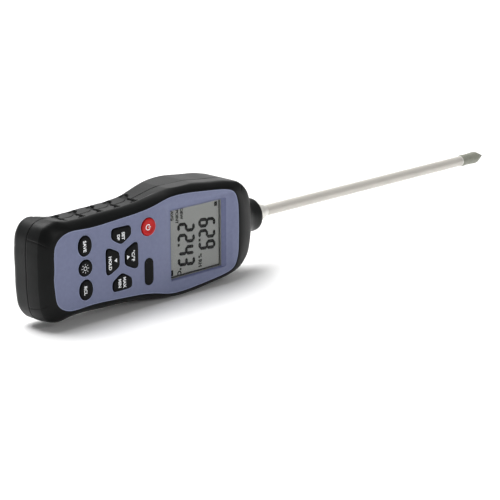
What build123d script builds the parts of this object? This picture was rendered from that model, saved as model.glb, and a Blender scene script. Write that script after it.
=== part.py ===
from build123d import *
import math
import os

# Hand-held temperature, humidity and dew-point meter with a rigid rod probe.
# It is drawn lying face up and is then stood on its side edge.
# Drawing frame: X runs from the near end to the probe tip, Y across the width,
# Z out of the face, with Z = 0 on the blue face panel. All sizes are millimetres.

# ---- overall ----
TOTAL_LENGTH = 480.0
BODY_WIDTH = 75.0
BODY_LENGTH = 191.5
PANEL_TO_BACK = 42.8
GRIP_TO_BACK = 31.7
SWELL_S = (84.5, 134.0)
KEY_PROUD = 1.2
SEAM_DEPTH = 15.4
SEAM_GAP = 0.1
CREASE_DEPTH = 6.5
RIM_PROUD = 0.4
WALL = 2.2
AXIS_Z = -20.8

# ---- face ----
PANEL_T = 1.2
PANEL_NEAR = 12.8
PANEL_FAR = 173.2
FACE_WALL = 2.0
FACE_BACK = -(PANEL_T + FACE_WALL)
LCD_S = (110.9, 156.9)
LCD_HALF = 22.8
BEVEL_FAR = 3.6
BEVEL_SIDE = 1.2
LENS_LEDGE = 1.4
LENS_TOP = -2.0

# ---- keys ----
KEY_TRAVEL = 0.8
KEY_GAP = 0.35
KEY_EDGE = 0.45
FLANGE_OUT = 0.8
FLANGE_T = 0.8
FLANGE_TOP = FACE_BACK - 0.3
DOME_TOP = FLANGE_TOP - FLANGE_T - KEY_TRAVEL - 0.3
SAVE_S = 37.5
SIDE_KEY_Y = 14.4
HOLD_S = 59.8
UNIT_S = 75.5
WEDGE_S = 67.3
WEDGE_Y = 15.6
POWER_S = 90.3
POWER_Y = 16.7
POWER_R = 6.0
CAPSULE_Y = -13.6

# ---- boards and display ----
PCB_T = 1.6
PCB_TOP = -9.4
MAT_T = 1.0
LCD_GLASS_T = 2.6
LCD_GLASS_TOP = -3.4
BACKLIGHT_T = 2.0
FRAME_WALL = 1.4
PCB_SCREWS = [(26, 20), (26, -20), (103, 24), (103, -24), (164, 24), (164, -24)]

# ---- case screws ----
CASE_SCREWS = [(14, 20), (14, -20), (171, 20), (171, -20)]
BOSS_R = 3.2
SCREW_R = 1.3
SCREW_HEAD_R = 2.7
SCREW_HEAD_T = 2.0
HEAD_SINK = 5.0

# ---- battery bay ----
BAY_S = (20.0, 84.0)
BAY_HALF = 24.0
COVER_GAP = 0.35
COVER_T = 2.0
HINGE_GAP = 0.6
HINGE_S = BAY_S[1] - HINGE_GAP - COVER_T / 2
HINGE_Z = -GRIP_TO_BACK + COVER_T / 2
PIN_R = 0.55
PIN_CLEAR = 0.05
PIN_GRIP = 1.8
CELL_R = 5.25
CELL_LONG = 44.5
CELL_PITCH = 10.9
CELL_COUNT = 4
CELL_Z = -23.4
TRAY_S = (22.0, 75.0)
TRAY_HALF = 23.2
TRAY_WALL = 1.2
TRAY_TOP = -16.6
TRAY_MOUTH = -29.3
CELL_S0 = 27.4

# ---- tripod socket, 1/4-20 UNC ----
TRIPOD_S = 142.0
TRIPOD_R = 2.6
TRIPOD_DEPTH = 9.0
INSERT_R = 4.5

# ---- probe ----
TUBE_R = 4.0
TUBE_BORE_R = 3.4
TUBE_START = 174.0
TUBE_END = 452.8
COLLAR_END = 206.4
COLLAR_R = 12.0
SPIGOT_R = 3.3
SPIGOT_END = 460.0
CAP_R = 4.6
CAP_START = 454.1
CAP_CONE = 469.5
CAP_CLEAR = 0.05

# Half outlines (X along the meter, Y half width) from the near end to the head.
OUTER_HALF = [
    (0.5, 16.0), (3.2, 26.2), (8.8, 31.6), (15.0, 33.0), (29.0, 31.3), (55.0, 31.8),
    (84.0, 33.2), (100.0, 35.6), (116.0, 37.8), (131.0, 37.8), (150.0, 35.9),
    (169.0, 33.2), (180.0, 29.6), (187.2, 22.4), (190.8, 11.0),
]
PANEL_HALF = [
    (13.2, 12.0), (15.0, 19.6), (20.0, 24.0), (37.5, 25.5), (66.0, 26.6), (86.0, 28.2),
    (98.0, 30.4), (108.0, 32.8), (118.0, 33.5), (132.0, 32.8), (148.0, 31.3), (162.0, 29.4),
    (168.6, 26.6), (171.8, 20.8), (173.0, 10.0),
]
OUTER_NEAR = 0.22


def ring(half, near, far):
    """Closed outline of a half outline and its mirror image."""
    upper = [(near, 0.0)] + half + [(far, 0.0)]
    lower = [(s, -w) for s, w in reversed(half)]
    return upper + lower


def shrink(outline, inset, widest=BODY_WIDTH / 2):
    """Outline drawn in by the inset at both ends and at its widest place."""
    low = min(s for s, _ in outline)
    high = max(s for s, _ in outline)
    stretch = (high - low - 2 * inset) / (high - low)
    return [(low + inset + (s - low) * stretch, w * (1 - inset / widest)) for s, w in outline]


def sheet(outline, z):
    edge = Edge.make_spline([Vector(s, w, z) for s, w in outline], periodic=True)
    return Face(Wire([edge]))


def stack(levels):
    """Solid through outlines at falling heights."""
    return loft([sheet(outline, z) for outline, z in levels], ruled=True)


def slab(outline, z_low, z_high):
    return extrude(sheet(outline, z_low), z_high - z_low, dir=(0, 0, 1))


def block(s, w, z):
    """Box between two values along each axis."""
    middle = [(a + b) / 2 for a, b in (s, w, z)]
    return Pos(*middle) * Box(s[1] - s[0], w[1] - w[0], z[1] - z[0])


def rod(s, w, z, radius):
    """Upright cylinder at (s, w) between two heights."""
    return Pos(s, w, (z[0] + z[1]) / 2) * Cylinder(radius, z[1] - z[0])


def turned(profile):
    """Solid of revolution about the probe axis, from (X, radius) points."""
    face = make_face(Polyline(*[(s, r) for s, r in profile], close=True))
    return Pos(0, 0, AXIS_Z) * revolve(face, axis=Axis.X)


OUTER = ring(OUTER_HALF, OUTER_NEAR, BODY_LENGTH)
PANEL = ring(PANEL_HALF, PANEL_NEAR, PANEL_FAR)
RIM = shrink(PANEL, -0.7)


def side_profile(inset):
    """Side view of the body behind the seam, drawn in by the inset."""
    grip = -(GRIP_TO_BACK - inset)
    head = -(PANEL_TO_BACK - inset)
    near = inset - 4
    far = BODY_LENGTH - inset + 4
    top = 2.0
    outline = [
        ThreePointArc((near, grip + 16), (near + 4.6, grip + 5), (near + 15, grip)),
        Line((near + 15, grip), (SWELL_S[0], grip)),
        Spline((SWELL_S[0], grip), (sum(SWELL_S) / 2, (grip + head) / 2), (SWELL_S[1], head),
               tangents=[(1, 0), (1, 0)]),
        Line((SWELL_S[1], head), (far - 18, head)),
        ThreePointArc((far - 18, head), (far - 5, head + 7), (far, head + 20)),
        Line((far, head + 20), (far, top)),
        Line((far, top), (near, top)),
        Line((near, top), (near, grip + 16)),
    ]
    face = make_face(Wire(outline))
    return extrude(Plane.XZ * face, BODY_WIDTH, both=True)


def flat_sided(solid):
    return solid & block((-5, 215), (-BODY_WIDTH / 2, BODY_WIDTH / 2), (-60, 10))


def collar_hole():
    """Round way for the collar's neck through the head end of both shells."""
    return turned([(178, 0), (178, COLLAR_R + 0.05), (200, COLLAR_R + 0.05), (200, 0)])


# ---- key shapes, each drawn at its place on the face ----
def oval(half_s, half_w, end_r):
    """Oval of four tangent arcs: two round ends across the width, two flatter sides."""
    reach = half_w - end_r
    side_r = (half_s ** 2 + reach ** 2 - end_r ** 2) / (2 * (half_s - end_r))
    lean = math.atan2(reach, side_r - half_s)
    join_s = half_s - side_r + side_r * math.cos(lean)
    join_w = side_r * math.sin(lean)
    arcs = [
        ThreePointArc((join_s, -join_w), (half_s, 0), (join_s, join_w)),
        ThreePointArc((join_s, join_w), (0, half_w), (-join_s, join_w)),
        ThreePointArc((-join_s, join_w), (-half_s, 0), (-join_s, -join_w)),
        ThreePointArc((-join_s, -join_w), (0, -half_w), (join_s, -join_w)),
    ]
    return make_face(Wire(arcs))


def trapezoid_key(s, long_half, short_half, length, towards_tip):
    """Key with one long side and one short side along the width."""
    sign = 1 if towards_tip else -1
    points = [
        (s - sign * length / 2, -short_half), (s - sign * length / 2, short_half),
        (s + sign * length / 2, long_half), (s + sign * length / 2, -long_half),
    ]
    return fillet(make_face(Polyline(*points, close=True)).vertices(), 1.6)


def wedge_key(sign):
    """Five-sided key whose point faces the middle of the keypad."""
    reach = 8.0
    outer = WEDGE_Y + 5.3
    inner = WEDGE_Y - 6.0
    flank = WEDGE_Y - 1.2
    points = [
        (WEDGE_S - reach, sign * outer), (WEDGE_S + reach, sign * outer),
        (WEDGE_S + reach, sign * flank), (WEDGE_S, sign * inner),
        (WEDGE_S - reach, sign * flank),
    ]
    return fillet(make_face(Polyline(*points, close=True)).vertices(), 1.6)


def key_sketches():
    side_oval = oval(5.3, 6.6, 4.7)
    return {
        "key_save": Pos(SAVE_S, SIDE_KEY_Y) * side_oval,
        "key_backlight": Pos(SAVE_S, 0) * Circle(5.3),
        "key_recall": Pos(SAVE_S, -SIDE_KEY_Y) * side_oval,
        "key_hold": trapezoid_key(HOLD_S, 9.9, 4.8, 10.8, False),
        "key_unit": trapezoid_key(UNIT_S, 9.9, 4.8, 10.8, True),
        "key_set": wedge_key(1),
        "key_max_min": wedge_key(-1),
        "key_power": Pos(POWER_S, POWER_Y) * Circle(POWER_R),
    }


def capsule_sketch(grow=0.0):
    body = Pos(POWER_S, CAPSULE_Y) * SlotOverall(18.4 + 2 * grow, 7.4 + 2 * grow, rotation=90)
    return body


def key_cap(sketch):
    """Cap that stands out of the face, on a flange that stays under it."""
    cap = extrude(Pos(0, 0, FLANGE_TOP) * sketch, KEY_PROUD - FLANGE_TOP)
    cap = fillet(cap.edges().group_by(Axis.Z)[-1], KEY_EDGE)
    flange = extrude(Pos(0, 0, FLANGE_TOP - FLANGE_T) * offset(sketch, FLANGE_OUT), FLANGE_T)
    return cap + flange


def key_holes(depth_low, depth_high):
    holes = None
    for sketch in key_sketches().values():
        hole = extrude(Pos(0, 0, depth_low) * offset(sketch, KEY_GAP), depth_high - depth_low)
        holes = hole if holes is None else holes + hole
    return holes


def window_bevel():
    """Sloped opening of the panel round the display."""
    s_low, s_high = LCD_S
    top = make_face(Polyline((s_low - BEVEL_SIDE, -LCD_HALF - BEVEL_SIDE, 0.01),
                             (s_high + BEVEL_FAR, -LCD_HALF - BEVEL_SIDE, 0.01),
                             (s_high + BEVEL_FAR, LCD_HALF + BEVEL_SIDE, 0.01),
                             (s_low - BEVEL_SIDE, LCD_HALF + BEVEL_SIDE, 0.01), close=True))
    low = make_face(Polyline((s_low, -LCD_HALF, LENS_TOP), (s_high, -LCD_HALF, LENS_TOP),
                             (s_high, LCD_HALF, LENS_TOP), (s_low, LCD_HALF, LENS_TOP),
                             close=True))
    return loft([low, top], ruled=True)


# ---- case ----
def front_shell():
    crease = shrink(OUTER, 0.9)
    form = stack([(RIM, RIM_PROUD), (crease, -CREASE_DEPTH), (OUTER, -SEAM_DEPTH)])
    cavity = stack([(shrink(PANEL, 0.6), FACE_BACK), (shrink(crease, WALL), -CREASE_DEPTH - 1),
                    (shrink(OUTER, WALL), -SEAM_DEPTH - 0.01)])
    shell = flat_sided(form) - cavity
    for s, w in CASE_SCREWS:
        shell = shell + rod(s, w, (-SEAM_DEPTH, FACE_BACK + 0.5), BOSS_R)
        shell = shell - rod(s, w, (-SEAM_DEPTH - 1, -SEAM_DEPTH + 9), SCREW_R)
    for s, w in PCB_SCREWS:
        shell = shell + rod(s, w, (PCB_TOP, FACE_BACK + 0.5), 2.2)
        shell = shell - rod(s, w, (PCB_TOP - 1, PCB_TOP + 5), 0.9)
    lens_half = LCD_HALF + LENS_LEDGE
    shell = shell - slab(PANEL, -PANEL_T, 3)
    shell = shell - key_holes(FACE_BACK - 1, 0)
    shell = shell - window_bevel()
    shell = shell - block((LCD_S[0] - LENS_LEDGE, LCD_S[1] + LENS_LEDGE),
                          (-lens_half, lens_half), (FACE_BACK - 1, LENS_TOP))
    return shell - collar_hole()


def rear_form(inset):
    levels = [
        (shrink(OUTER, inset), -SEAM_DEPTH - SEAM_GAP), (shrink(OUTER, inset + 0.25), -28.0),
        (shrink(OUTER, inset + 3.4), -36.0), (shrink(OUTER, inset + 9.0), -PANEL_TO_BACK),
    ]
    return stack(levels) & side_profile(inset)


def rear_shell():
    shell = flat_sided(rear_form(0)) - rear_form(WALL)
    for s, w in CASE_SCREWS:
        back = -GRIP_TO_BACK if s < 100 else -PANEL_TO_BACK
        shell = shell + rod(s, w, (back + 1, -SEAM_DEPTH - SEAM_GAP), BOSS_R + 0.8)
        shell = shell - rod(s, w, (back - 1, -SEAM_DEPTH + 1), SCREW_R + 0.3)
        shell = shell - rod(s, w, (back - 1, back + HEAD_SINK), SCREW_HEAD_R + 0.3)
    boss_top = -PANEL_TO_BACK + TRIPOD_DEPTH + 2
    shell = shell + rod(TRIPOD_S, 0, (-PANEL_TO_BACK + 1, boss_top), INSERT_R + 2.5)
    shell = shell - rod(TRIPOD_S, 0, (-PANEL_TO_BACK - 1, boss_top - 2), INSERT_R)
    shell = shell - block(BAY_S, (-BAY_HALF, BAY_HALF), (-40, -GRIP_TO_BACK + WALL + 0.5))
    shell = shell - hinge_bar(PIN_R, BAY_HALF + PIN_GRIP)
    return shell - collar_hole()


def case_screws():
    screws = []
    for s, w in CASE_SCREWS:
        back = -GRIP_TO_BACK if s < 100 else -PANEL_TO_BACK
        seat = back + HEAD_SINK
        head = rod(s, w, (seat - SCREW_HEAD_T, seat), SCREW_HEAD_R)
        slot = block((s - 1.8, s + 1.8), (w - 0.35, w + 0.35), (seat - 2.1, seat - 1.1))
        cross = block((s - 0.35, s + 0.35), (w - 1.8, w + 1.8), (seat - 2.1, seat - 1.1))
        shank = rod(s, w, (seat, -SEAM_DEPTH + 8), SCREW_R)
        screws.append(head + shank - slot - cross)
    return Compound(children=screws)


def tripod_insert():
    back = -PANEL_TO_BACK
    body = rod(TRIPOD_S, 0, (back + 0.2, back + TRIPOD_DEPTH), INSERT_R)
    return body - rod(TRIPOD_S, 0, (back - 1, back + TRIPOD_DEPTH - 0.6), TRIPOD_R)


# ---- face ----
def face_panel():
    plate = slab(shrink(PANEL, 0.08), -PANEL_T, 0)
    plate = plate - key_holes(-PANEL_T - 1, 1) - window_bevel()
    return plate - extrude(Pos(0, 0, -0.6) * capsule_sketch(0.1), 2)


def name_capsule():
    return extrude(Pos(0, 0, -0.6) * capsule_sketch(), 0.9)


def display_window():
    half = LCD_HALF + LENS_LEDGE - 0.1
    ends = (LCD_S[0] - LENS_LEDGE + 0.1, LCD_S[1] + LENS_LEDGE - 0.1)
    return block(ends, (-half, half), (FACE_BACK, LENS_TOP))


# ---- display stack ----
def lcd_glass():
    rear_plate = block((LCD_S[0] - 1, LCD_S[1] + 1), (-24.6, 24.6),
                       (LCD_GLASS_TOP - LCD_GLASS_T, LCD_GLASS_TOP - LCD_GLASS_T / 2))
    front_plate = block((LCD_S[0] - 1, LCD_S[1] + 1), (-22.9, 22.9),
                        (LCD_GLASS_TOP - LCD_GLASS_T / 2, LCD_GLASS_TOP))
    return rear_plate + front_plate


def backlight_panel():
    top = LCD_GLASS_TOP - LCD_GLASS_T - 0.1
    plate = block((LCD_S[0] + 1, LCD_S[1] - 1), (-20.4, 20.4), (top - BACKLIGHT_T, top))
    lamp = block((LCD_S[1] - 1, LCD_S[1] + 0.6), (-8, 8), (top - BACKLIGHT_T, top))
    return plate + lamp


def zebra_strips():
    top = LCD_GLASS_TOP - LCD_GLASS_T
    strips = []
    for side in (-1, 1):
        edges = sorted((side * 21.2, side * 23.6))
        strips.append(block((LCD_S[0] + 1, LCD_S[1] - 1), edges, (PCB_TOP, top)))
    return Compound(children=strips)


def lcd_frame():
    inner_s = (LCD_S[0] - 1.1, LCD_S[1] + 1.1)
    outer_s = (inner_s[0] - FRAME_WALL, inner_s[1] + FRAME_WALL)
    inner = 24.7
    outer = inner + FRAME_WALL
    top = FACE_BACK - 0.05
    body = block(outer_s, (-outer, outer), (PCB_TOP, top))
    body = body - block(inner_s, (-inner, inner), (PCB_TOP - 1, LCD_GLASS_TOP))
    return body - block(LCD_S, (-LCD_HALF, LCD_HALF), (PCB_TOP - 1, top + 1))


def keypad_mat():
    mat = block((30.5, 98.0), (-22.4, 22.4), (PCB_TOP, PCB_TOP + MAT_T))
    for sketch in key_sketches().values():
        foot = extrude(Pos(0, 0, PCB_TOP + MAT_T) * offset(sketch, -0.6),
                       DOME_TOP - PCB_TOP - MAT_T)
        mat = mat + foot
    return mat


# ---- electronics ----
def main_board():
    z = (PCB_TOP - PCB_T, PCB_TOP)
    board = block((21, 104), (-23.5, 23.5), z) + block((98, 167.2), (-27, 27), z)
    board = fillet(board.edges().filter_by(Axis.Z), 1.5)
    for s, w in PCB_SCREWS:
        board = board - rod(s, w, (z[0] - 1, z[1] + 1), 1.2)
    return board


def board_screws():
    low = PCB_TOP - PCB_T
    screws = []
    for s, w in PCB_SCREWS:
        head = rod(s, w, (low - 1.3, low), 1.9)
        shank = rod(s, w, (low, PCB_TOP + 4), 0.9)
        slot = block((s - 1.2, s + 1.2), (w - 0.25, w + 0.25), (low - 1.4, low - 0.8))
        screws.append(head + shank - slot)
    return Compound(children=screws)


def microcontroller():
    low = PCB_TOP - PCB_T
    chip = block((121, 135), (-7, 7), (low - 1.6, low - 0.2))
    chip = chamfer(chip.faces().sort_by(Axis.Z)[0].edges(), 0.25)
    for index in range(12):
        place = -5.5 + index
        lead_z = (low - 0.8, low)
        chip = chip + block((119.8, 136.2), (place - 0.18, place + 0.18), lead_z)
        s_mid = 128 + place
        chip = chip + block((s_mid - 0.18, s_mid + 0.18), (-8.2, 8.2), lead_z)
    return chip


def board_parts():
    """Small surface-mounted pieces on the back of the board."""
    low = PCB_TOP - PCB_T
    parts = []
    for index in range(6):
        s = 88 + 5 * index
        parts.append(block((s - 1, s + 1), (9.4, 10.6), (low - 0.8, low)))
        parts.append(block((s - 1.6, s + 1.6), (-11.2, -8.8), (low - 1.4, low)))
    parts.append(block((139, 145), (8, 12), (low - 1.5, low)))
    parts.append(rod(118, 15, (low - 3.6, low), 2.0))
    return Compound(children=parts)


def crystal_can():
    low = PCB_TOP - PCB_T
    can = extrude(Pos(143, -10, low - 3.4) * SlotOverall(11, 4.6), 3.4)
    return fillet(can.edges().group_by(Axis.Z)[0], 0.6)


def buzzer():
    low = PCB_TOP - PCB_T
    s, w = 110, -19.5
    body = rod(s, w, (low - 5.5, low), 6.0)
    return body - rod(s, w, (low - 6, low - 4.6), 1.0)


def cable_socket():
    low = PCB_TOP - PCB_T
    body = block((155, 162), (-5, 5), (low - 5.0, low))
    return body - block((158, 163), (-4, 4), (low - 4.0, low - 1.0))


# ---- battery bay ----
def cell_places():
    first = -CELL_PITCH * (CELL_COUNT - 1) / 2
    return [first + CELL_PITCH * index for index in range(CELL_COUNT)]


def battery_tray():
    tray = block(TRAY_S, (-TRAY_HALF, TRAY_HALF), (TRAY_MOUTH, TRAY_TOP))
    inner = (TRAY_S[0] + TRAY_WALL, TRAY_S[1] - TRAY_WALL)
    half = TRAY_HALF - TRAY_WALL
    return tray - block(inner, (-half, half), (TRAY_MOUTH - 1, TRAY_TOP - TRAY_WALL))


def battery_cells():
    cells = []
    for index, w in enumerate(cell_places()):
        can = Pos(CELL_S0 + CELL_LONG / 2, w, CELL_Z) * Rot(0, 90, 0) * Cylinder(CELL_R, 43.5)
        tip_s = CELL_S0 + (0.25 if index % 2 else CELL_LONG - 0.25)
        tip = Pos(tip_s, w, CELL_Z) * Rot(0, 90, 0) * Cylinder(1.9, 1.2)
        cells.append(can + tip)
    return Compound(children=cells)


def contact_plates():
    plates = []
    half = CELL_R - 0.6
    for w in cell_places():
        for s in (TRAY_S[0] + TRAY_WALL, TRAY_S[1] - TRAY_WALL - 0.4):
            plates.append(block((s, s + 0.4), (w - half, w + half), (CELL_Z - 4, CELL_Z + 4)))
    return Compound(children=plates)


def contact_springs():
    """Tapered coil at the flat end of each cell."""
    springs = []
    for index, w in enumerate(cell_places()):
        at_near = index % 2 == 0
        if at_near:
            start, end = TRAY_S[0] + TRAY_WALL + 0.75, CELL_S0 + 0.1
        else:
            start, end = TRAY_S[1] - TRAY_WALL - 0.75, CELL_S0 + CELL_LONG - 0.1
        length = abs(end - start)
        path = Edge.make_helix(pitch=length / 3, height=length, radius=3.4, angle=-14)
        profile = Plane(path @ 0, z_dir=path % 0) * Circle(0.3)
        coil = sweep(profile, path=Wire([path]), is_frenet=True)
        turn = Rot(0, 90, 0) if at_near else Rot(0, -90, 0)
        springs.append(Pos(start, w, CELL_Z) * turn * coil)
    return Compound(children=springs)


def battery_leads():
    """Red and black leads from the tray to the board."""
    low = PCB_TOP - PCB_T
    leads = []
    for side in (-1, 1):
        w = side * 16
        route = FilletPolyline((75.1, w, -24), (79.5, w, -24), (79.5, w, low), radius=2.0)
        profile = Plane(route @ 0, z_dir=route % 0) * Circle(0.65)
        leads.append(sweep(profile, path=route))
    return Compound(children=leads)


def hinge_bar(radius, half):
    """Round bar along the axis that the battery cover turns on."""
    bar = Cylinder(radius, 2 * half)
    return Pos(HINGE_S, 0, HINGE_Z) * Rot(90, 0, 0) * bar


def battery_cover():
    half = BAY_HALF - COVER_GAP
    back = -GRIP_TO_BACK
    near = BAY_S[0] + COVER_GAP
    cover = block((near, HINGE_S), (-half, half), (back, back + COVER_T))
    cover = cover + hinge_bar(COVER_T / 2, half) - hinge_bar(PIN_R + PIN_CLEAR, half + 1)
    for index in range(5):
        rib = near + 5 + 2.4 * index
        cover = cover - block((rib - 0.5, rib + 0.5), (-11, 11), (back - 1, back + 0.6))
    return cover


def cover_pin():
    return hinge_bar(PIN_R, BAY_HALF + PIN_GRIP)


# ---- probe ----
def probe_collar():
    """Collar with a flange inside the case and a flared shoulder outside it."""
    profile = [
        (180.6, TUBE_R), (180.6, 13.4), (184.4, 13.4), (184.4, COLLAR_R), (191.4, COLLAR_R),
        (191.4, 14.6), (193.4, 13.6), (196, 12.6), (199, COLLAR_R), (205.6, COLLAR_R),
        (COLLAR_END, 11.2), (COLLAR_END, TUBE_R),
    ]
    return turned(profile)


def tube_nut():
    nut = Pos(177.2, 0, AXIS_Z) * Rot(0, 90, 0) * extrude(RegularPolygon(7.5, 6), 2.7)
    return nut - turned([(170, 0), (170, TUBE_R), (210, TUBE_R), (210, 0)])


def probe_tube():
    profile = [(TUBE_START, TUBE_BORE_R), (TUBE_START, TUBE_R), (TUBE_END, TUBE_R),
               (TUBE_END, TUBE_BORE_R)]
    return turned(profile)


def sensor_ferrule():
    """Adapter pressed into the tube, with the spigot that the cap screws on to."""
    profile = [
        (442, 2.6), (442, TUBE_BORE_R), (TUBE_END, TUBE_BORE_R), (TUBE_END, TUBE_R),
        (TUBE_END + 0.2, TUBE_R), (TUBE_END + 0.2, SPIGOT_R), (SPIGOT_END, SPIGOT_R),
        (SPIGOT_END, 2.6),
    ]
    return turned(profile)


def cap_seal():
    low = TUBE_END + 0.25
    high = CAP_START - 0.05
    inner = SPIGOT_R + 0.05
    profile = [(low, inner), (low, 4.0), (low + 0.25, 4.3), (high - 0.25, 4.3), (high, 4.0),
               (high, inner)]
    return turned(profile)


def filter_cap():
    bore = SPIGOT_R + CAP_CLEAR
    profile = [
        (CAP_START, bore), (CAP_START, CAP_R - 0.3), (CAP_START + 0.3, CAP_R),
        (CAP_CONE, CAP_R), (TOTAL_LENGTH - 1.2, 1.1), (TOTAL_LENGTH - 0.3, 0.6),
        (TOTAL_LENGTH, 0), (468.5, 0), (468.5, bore),
    ]
    return turned(profile)


def sensor_board():
    return block((444, 466), (-2.1, 2.1), (AXIS_Z - 0.4, AXIS_Z + 0.4))


def humidity_sensor():
    chip = block((461.5, 465), (-1.5, 1.5), (AXIS_Z + 0.4, AXIS_Z + 1.2))
    return chamfer(chip.faces().sort_by(Axis.Z)[-1].edges(), 0.2)


def sensor_cable():
    """Screened lead through the tube, from the sensor board to the socket."""
    low = PCB_TOP - PCB_T
    z_socket = low - 2.5
    route = FilletPolyline((161, 0, z_socket), (166, 0, z_socket), (172, 0, AXIS_Z),
                           (178, 0, AXIS_Z), radius=4.0)
    end = Line((178, 0, AXIS_Z), (444, 0, AXIS_Z))
    path = Wire([*route.edges(), end])
    profile = Plane(path @ 0, z_dir=path % 0) * Circle(1.3)
    return sweep(profile, path=path)


def nodes():
    parts = {
        "front_shell": front_shell(), "rear_shell": rear_shell(),
        "case_screws": case_screws(), "tripod_insert": tripod_insert(),
        "face_panel": face_panel(), "name_capsule": name_capsule(),
        "display_window": display_window(), "lcd_glass": lcd_glass(),
        "backlight_panel": backlight_panel(), "zebra_strips": zebra_strips(),
        "lcd_frame": lcd_frame(), "keypad_mat": keypad_mat(),
        "main_board": main_board(), "board_screws": board_screws(),
        "microcontroller": microcontroller(), "board_parts": board_parts(),
        "crystal_can": crystal_can(), "buzzer": buzzer(), "cable_socket": cable_socket(),
        "battery_tray": battery_tray(), "battery_cells": battery_cells(),
        "contact_plates": contact_plates(), "contact_springs": contact_springs(),
        "battery_leads": battery_leads(), "battery_cover": battery_cover(),
        "cover_pin": cover_pin(),
        "probe_collar": probe_collar(), "tube_nut": tube_nut(), "probe_tube": probe_tube(),
        "sensor_ferrule": sensor_ferrule(), "cap_seal": cap_seal(),
        "filter_cap": filter_cap(), "sensor_board": sensor_board(),
        "humidity_sensor": humidity_sensor(), "sensor_cable": sensor_cable(),
    }
    for name, sketch in key_sketches().items():
        parts[name] = key_cap(sketch)
    return parts


def stand_up(part):
    """Turn the drawing frame on to its side edge, centred, with the floor at Z = 0."""
    panel_y = -(PANEL_TO_BACK + KEY_PROUD) / 2 + KEY_PROUD
    return Pos(-TOTAL_LENGTH / 2, panel_y, BODY_WIDTH / 2) * Rot(90, 0, 0) * part


os.makedirs("parts", exist_ok=True)
for node_name, node_part in nodes().items():
    placed = stand_up(node_part)
    placed.label = node_name
    export_step(placed, f"parts/{node_name}.step")
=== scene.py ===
import math

import bmesh
import bpy
import numpy as np
from mathutils import Matrix, Vector, geometry, noise


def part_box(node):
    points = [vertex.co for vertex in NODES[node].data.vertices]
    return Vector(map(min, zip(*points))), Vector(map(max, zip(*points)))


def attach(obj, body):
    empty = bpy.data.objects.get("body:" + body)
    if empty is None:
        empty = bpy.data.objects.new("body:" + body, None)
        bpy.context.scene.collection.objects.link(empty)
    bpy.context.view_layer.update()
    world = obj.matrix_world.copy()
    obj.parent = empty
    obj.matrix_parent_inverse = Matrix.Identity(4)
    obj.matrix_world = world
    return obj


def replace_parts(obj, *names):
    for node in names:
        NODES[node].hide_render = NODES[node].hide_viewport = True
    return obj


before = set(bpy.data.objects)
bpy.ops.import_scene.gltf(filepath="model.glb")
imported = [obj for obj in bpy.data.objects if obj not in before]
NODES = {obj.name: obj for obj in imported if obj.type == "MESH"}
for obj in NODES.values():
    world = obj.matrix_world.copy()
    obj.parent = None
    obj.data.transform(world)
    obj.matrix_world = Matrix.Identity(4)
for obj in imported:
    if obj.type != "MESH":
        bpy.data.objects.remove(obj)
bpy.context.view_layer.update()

# Drawing sizes are millimetres: s runs along the meter from its near end to the probe tip,
# w across the face and h out of it, with h = 0 on the blue panel. to_frame() turns them
# into the metres of the shared frame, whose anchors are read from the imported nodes.
MM = 0.001
LENGTH = 480.0
TIP_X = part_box("filter_cap")[1].x
FACE_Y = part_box("face_panel")[0].y
TUBE_LOW, TUBE_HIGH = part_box("probe_tube")
AXIS_Z = (TUBE_LOW.z + TUBE_HIGH.z) / 2
AXIS_H = (FACE_Y - (TUBE_LOW.y + TUBE_HIGH.y) / 2) / MM

OUTER_HALF = [
    (3.3, 15.0), (5.2, 25.4), (9.8, 31.2), (15.6, 32.9), (29.0, 31.3), (55.0, 31.8),
    (84.0, 33.2), (100.0, 35.6), (116.0, 37.8), (131.0, 37.8), (150.0, 35.9),
    (169.0, 33.6), (180.0, 30.3), (187.4, 23.2), (190.8, 11.4),
]
OUTER_NEAR = 3.0
OUTER_FAR = 191.5
HALF_WIDTH = 37.5
SPINE = (35.0, 150.0)
SEAM = -15.4
CREASE_DROP = 6.2
GRIP_BACK = -31.7
HEAD_BACK = -42.8
SWELL = (84.5, 146.0)
BACK_ROUND = 7.0
SHELL_WALL = 3.6
COLUMNS = 900
CIRCLE_POINTS = 48
GROOVES = [30.5 + 14.4 * index for index in range(5)]
GROOVE_DEPTH = 1.5
SAW_TOOTH = 2.4
SPLIT_S = 181.0
SPLIT_W = 22.3
LCD_S = (110.9, 157.7)
LCD_W = (-23.9, 22.9)
STEP_S = (107.6, 166.8)
STEP_W = (-27.0, 27.0)
STEP_FLARE = 0.8
CAPSULE_S = (86.5, 94.1)
CAPSULE_W = (-22.9, -4.3)
KEY_GAP = 0.35
COVER_GAP = 0.35
SCREWS = [(14, 20), (14, -20), (171, 20), (171, -20)]
SCREW_WELL_R = 3.15
TRIPOD = (142, 0)
TRIPOD_R = 4.62
COLLAR_END = 206.4
TUBE_CLEAR_R = 4.02
CAP_START = 450.0
CAP_MOUTH_R = 4.07
CAP_BORE_R = 3.36
CONE_STEPS = 40


# ---- curves and numbers ----
def to_frame(points):
    """Drawing points (s, w, h) as metres of the shared frame."""
    s, w, h = np.asarray(points, float).reshape(-1, 3).T
    return np.column_stack([TIP_X + (s - LENGTH) * MM, FACE_Y - h * MM, AXIS_Z + w * MM])


def to_drawing(point):
    """(s, w, h) of a point of the shared frame."""
    s = LENGTH + (point[0] - TIP_X) / MM
    return s, (point[2] - AXIS_Z) / MM, (FACE_Y - point[1]) / MM


def step(start, end, value):
    """Smooth rise from 0 at start to 1 at end."""
    t = np.clip((value - start) / (end - start), 0, 1)
    return t * t * (3 - 2 * t)


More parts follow.
